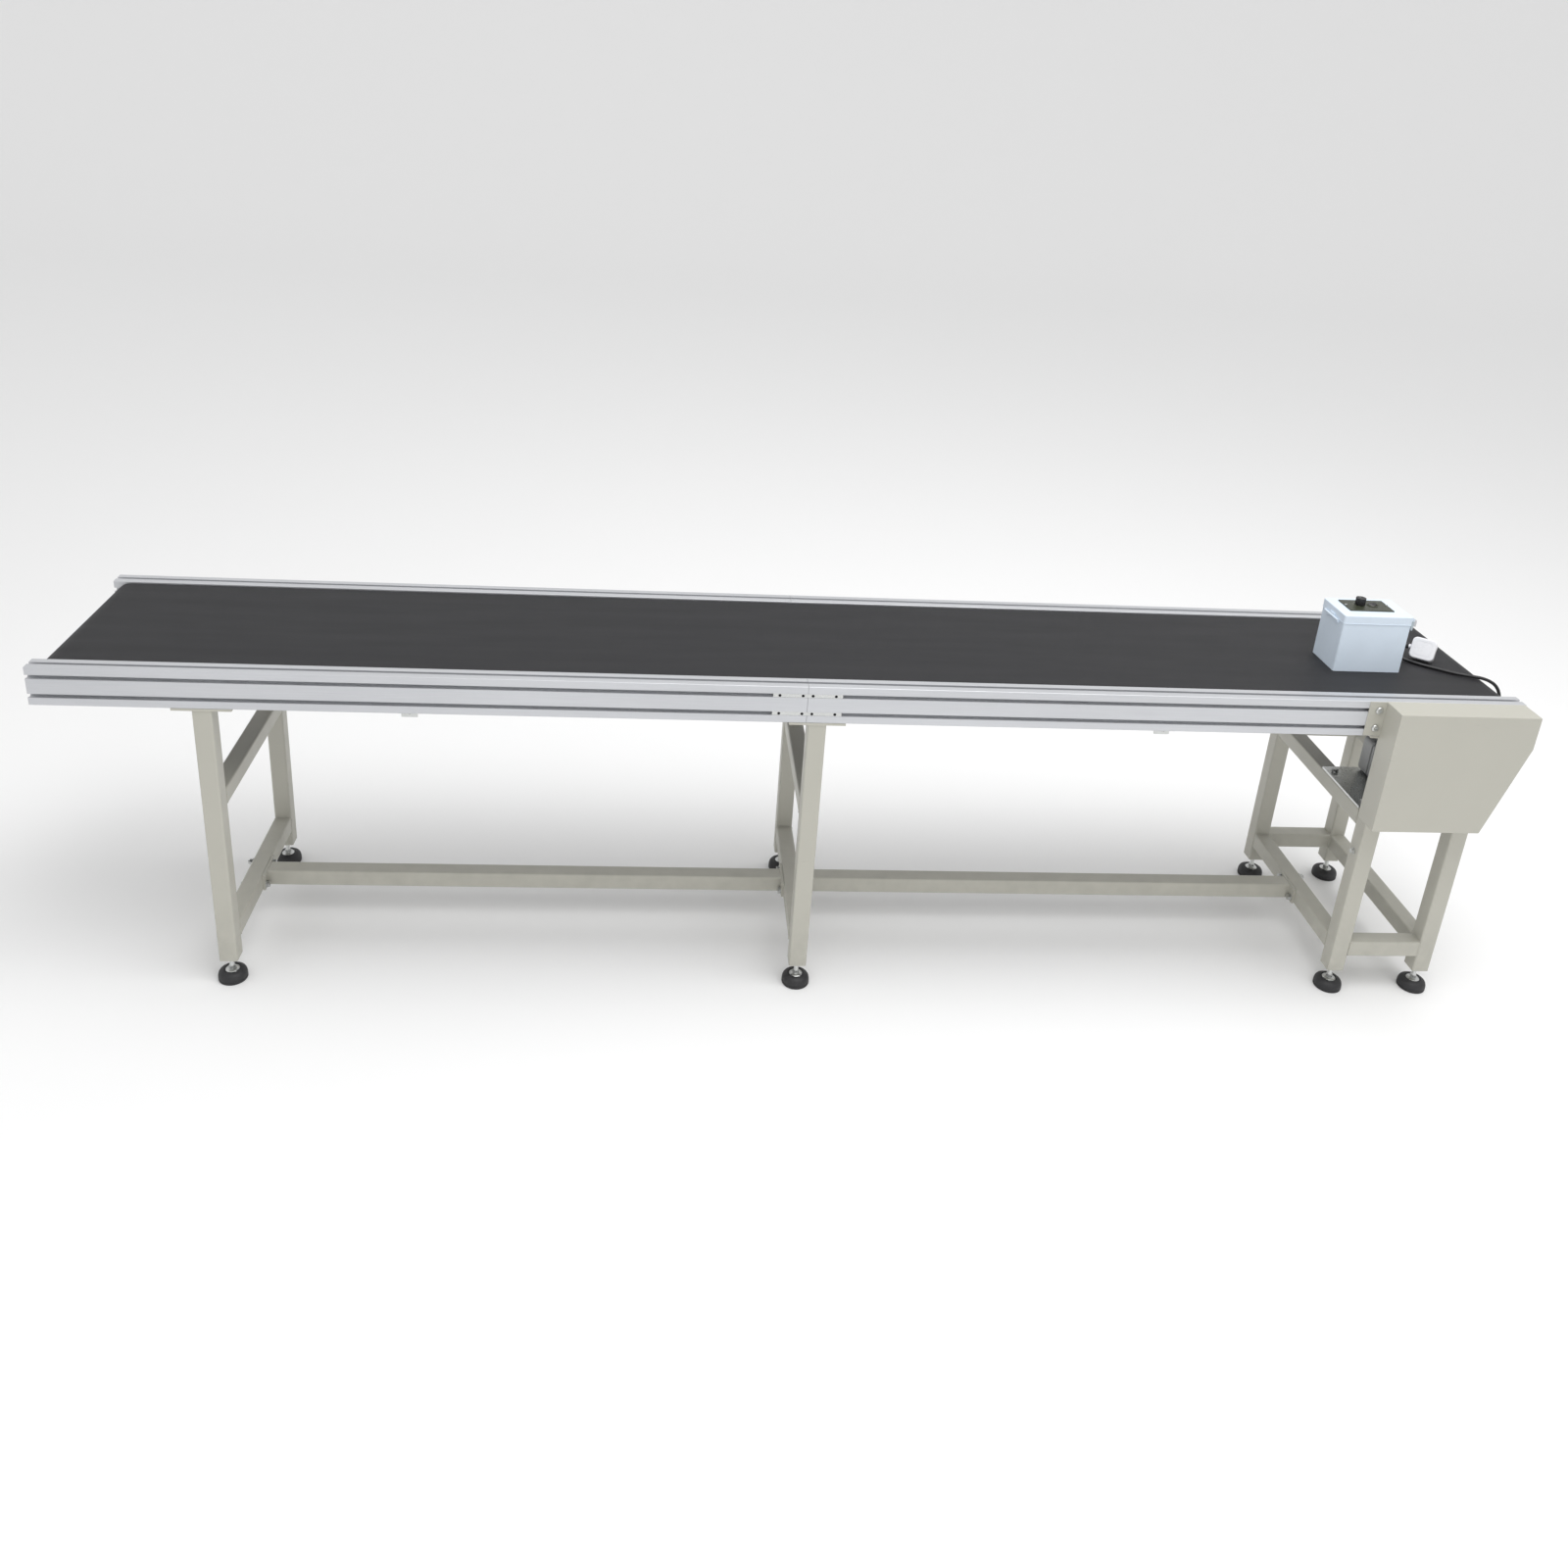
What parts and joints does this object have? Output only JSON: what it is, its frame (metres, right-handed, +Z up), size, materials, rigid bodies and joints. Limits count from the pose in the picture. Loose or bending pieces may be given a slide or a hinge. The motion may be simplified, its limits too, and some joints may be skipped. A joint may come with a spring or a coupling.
{
  "type": "flat belt conveyor section",
  "caption": "Straight flat-belt conveyor on a welded tube stand: slotted side rails, black belt over end rollers, covered side drive, speed control box and levelling feet.",
  "frame": {"origin": "centre of the footprint, on the floor, without the free cords", "axes": "+X along the belt from the tail end to the drive end, -Y towards the drive cover's side, +Z up"},
  "size_m": [3.0225, 0.55, 0.8763],
  "materials": {
    "anodised_aluminium": "satin anodised extrusion",
    "powder_coated_steel": "light grey powder coat",
    "belt_cover": "matte black conveyor belting",
    "bed_sheet_steel": "plain cold-rolled sheet",
    "zinc_plated_steel": "bright zinc plate",
    "black_oxide_steel": "black oxide",
    "machined_steel": "turned and ground",
    "bearing_steel": "ground, with dark seals",
    "pulley_aluminium": "machined",
    "v_belt_rubber": "moulded",
    "motor_paint": "light grey paint",
    "box_plastic": "pale blue-grey moulding",
    "latch_plastic": "grey moulding",
    "panel_plastic": "fine texture, near black",
    "knob_plastic": "black moulding",
    "switch_plastic": "black gloss",
    "gland_plastic": "black nylon",
    "cord_jacket": "black PVC jacket",
    "plug_plastic": "white moulding",
    "plug_brass": "plain",
    "foot_assembly": "black pad on a zinc plated stud"
  },
  "bodies": {
    "frame": {"rail_front_tail": "anodised_aluminium", "rail_front_drive": "anodised_aluminium", "rail_back_tail": "anodised_aluminium", "rail_back_drive": "anodised_aluminium", "bed_cross_ties": "anodised_aluminium", "tail_frame": "powder_coated_steel", "middle_frame": "powder_coated_steel", "drive_stand": "powder_coated_steel", "stretchers": "powder_coated_steel", "drive_cover": "powder_coated_steel", "conveyor_belt": "belt_cover", "slider_bed": "bed_sheet_steel", "frame_bolts": "zinc_plated_steel", "stretcher_bolts": "zinc_plated_steel", "cover_screws": "zinc_plated_steel", "cover_back_plate": "zinc_plated_steel", "motor_plate": "zinc_plated_steel", "return_roller_brackets": "zinc_plated_steel", "slot_connectors": "zinc_plated_steel", "connector_grub_screws": "black_oxide_steel", "take_up_thrust_blocks": "machined_steel", "drive_bearings": "bearing_steel", "drive_v_belt": "v_belt_rubber", "drive_motor": "motor_paint", "gearbox": "motor_paint", "control_case": "box_plastic", "cord_glands": "gland_plastic", "mains_cord_box_run": "cord_jacket", "mains_cord_coil": "cord_jacket", "mains_cord_plug_run": "cord_jacket", "motor_cable": "cord_jacket", "plug_body": "plug_plastic", "plug_pins": "plug_brass"},
    "take_up_carriage": {"tail_shaft": "machined_steel", "take_up_blocks": "machined_steel"},
    "tail_roller": {"tail_drum": "machined_steel"},
    "take_up_screw_front": {"take_up_screw_front": "zinc_plated_steel"},
    "take_up_screw_back": {"take_up_screw_back": "zinc_plated_steel"},
    "drive_roller": {"drive_drum": "machined_steel", "drive_shaft": "machined_steel", "driven_pulley": "pulley_aluminium"},
    "motor_output": {"output_shaft": "machined_steel", "motor_pulley": "pulley_aluminium"},
    "return_roller_tail": {"return_roller_tail": "machined_steel"},
    "return_roller_drive": {"return_roller_drive": "machined_steel"},
    "box_lid": {"control_lid": "box_plastic", "control_panel": "panel_plastic", "panel_screws": "zinc_plated_steel", "speed_module": "panel_plastic"},
    "speed_knob": {"speed_knob": "knob_plastic"},
    "rocker_switch": {"rocker_switch": "switch_plastic"},
    "lid_latch": {"lid_latch": "latch_plastic"},
    "foot_tail_front": {"foot_tail_front": "foot_assembly"},
    "foot_tail_back": {"foot_tail_back": "foot_assembly"},
    "foot_middle_front": {"foot_middle_front": "foot_assembly"},
    "foot_middle_back": {"foot_middle_back": "foot_assembly"},
    "foot_drive_inner_front": {"foot_drive_inner_front": "foot_assembly"},
    "foot_drive_inner_back": {"foot_drive_inner_back": "foot_assembly"},
    "foot_drive_outer_front": {"foot_drive_outer_front": "foot_assembly"},
    "foot_drive_outer_back": {"foot_drive_outer_back": "foot_assembly"}
  },
  "joints": [
    {"name": "drive_roller_spin", "type": "hinge", "parent": "frame", "child": "drive_roller", "pos_m": [1.46, 0.025, 0.69], "axis": [0, 1, 0], "continuous": true},
    {"name": "motor_output_spin", "type": "hinge", "parent": "frame", "child": "motor_output", "pos_m": [1.34015, 0.025, 0.52], "axis": [0, 1, 0], "continuous": true},
    {"name": "take_up_travel", "type": "slide", "parent": "frame", "child": "take_up_carriage", "axis": [1, 0, 0], "range_m": [0, 0.025]},
    {"name": "tail_roller_spin", "type": "hinge", "parent": "take_up_carriage", "child": "tail_roller", "pos_m": [-1.46, 0.025, 0.69], "axis": [0, 1, 0], "continuous": true},
    {"name": "take_up_screw_front_turn", "type": "hinge", "parent": "frame", "child": "take_up_screw_front", "pos_m": [-1.49, -0.199, 0.69], "axis": [1, 0, 0], "range_deg": [-7202, 0]},
    {"name": "take_up_screw_back_turn", "type": "hinge", "parent": "frame", "child": "take_up_screw_back", "pos_m": [-1.49, 0.249, 0.69], "axis": [1, 0, 0], "range_deg": [-7202, 0]},
    {"name": "return_roller_tail_spin", "type": "hinge", "parent": "frame", "child": "return_roller_tail", "pos_m": [-0.79, 0.025, 0.6364], "axis": [0, 1, 0], "continuous": true},
    {"name": "return_roller_drive_spin", "type": "hinge", "parent": "frame", "child": "return_roller_drive", "pos_m": [0.75, 0.025, 0.6364], "axis": [0, 1, 0], "continuous": true},
    {"name": "box_lid_open", "type": "hinge", "parent": "frame", "child": "box_lid", "pos_m": [1.148, -0.017, 0.8388], "axis": [0, -1, 0], "range_deg": [0, 110]},
    {"name": "lid_latch_swing", "type": "hinge", "parent": "box_lid", "child": "lid_latch", "pos_m": [1.3064, -0.053, 0.85], "axis": [0, -1, 0], "range_deg": [0, 70]},
    {"name": "speed_knob_turn", "type": "hinge", "parent": "box_lid", "child": "speed_knob", "pos_m": [1.2115, -0.008, 0.8605], "axis": [0, 0, -1], "range_deg": [0, 300]},
    {"name": "rocker_switch_tilt", "type": "hinge", "parent": "box_lid", "child": "rocker_switch", "pos_m": [1.2395, -0.009, 0.8591], "axis": [0, 1, 0], "range_deg": [0, 16]},
    {"name": "foot_tail_front_height", "type": "slide", "parent": "frame", "child": "foot_tail_front", "axis": [0, 0, 1], "range_m": [-0.015, 0.02]},
    {"name": "foot_tail_back_height", "type": "slide", "parent": "frame", "child": "foot_tail_back", "axis": [0, 0, 1], "range_m": [-0.015, 0.02]},
    {"name": "foot_middle_front_height", "type": "slide", "parent": "frame", "child": "foot_middle_front", "axis": [0, 0, 1], "range_m": [-0.015, 0.02]},
    {"name": "foot_middle_back_height", "type": "slide", "parent": "frame", "child": "foot_middle_back", "axis": [0, 0, 1], "range_m": [-0.015, 0.02]},
    {"name": "foot_drive_inner_front_height", "type": "slide", "parent": "frame", "child": "foot_drive_inner_front", "axis": [0, 0, 1], "range_m": [-0.015, 0.02]},
    {"name": "foot_drive_inner_back_height", "type": "slide", "parent": "frame", "child": "foot_drive_inner_back", "axis": [0, 0, 1], "range_m": [-0.015, 0.02]},
    {"name": "foot_drive_outer_front_height", "type": "slide", "parent": "frame", "child": "foot_drive_outer_front", "axis": [0, 0, 1], "range_m": [-0.015, 0.02]},
    {"name": "foot_drive_outer_back_height", "type": "slide", "parent": "frame", "child": "foot_drive_outer_back", "axis": [0, 0, 1], "range_m": [-0.015, 0.02]}
  ],
  "couplings": [
    {"joint": "motor_output_spin", "follows": "drive_roller_spin", "ratio": 1},
    {"joint": "tail_roller_spin", "follows": "drive_roller_spin", "ratio": 1},
    {"joint": "return_roller_tail_spin", "follows": "drive_roller_spin", "ratio": -2.25},
    {"joint": "return_roller_drive_spin", "follows": "drive_roller_spin", "ratio": -2.25},
    {"joint": "take_up_screw_front_turn", "follows": "take_up_travel", "rad_per_m": -5026.5},
    {"joint": "take_up_screw_back_turn", "follows": "take_up_travel", "rad_per_m": -5026.5}
  ]
}
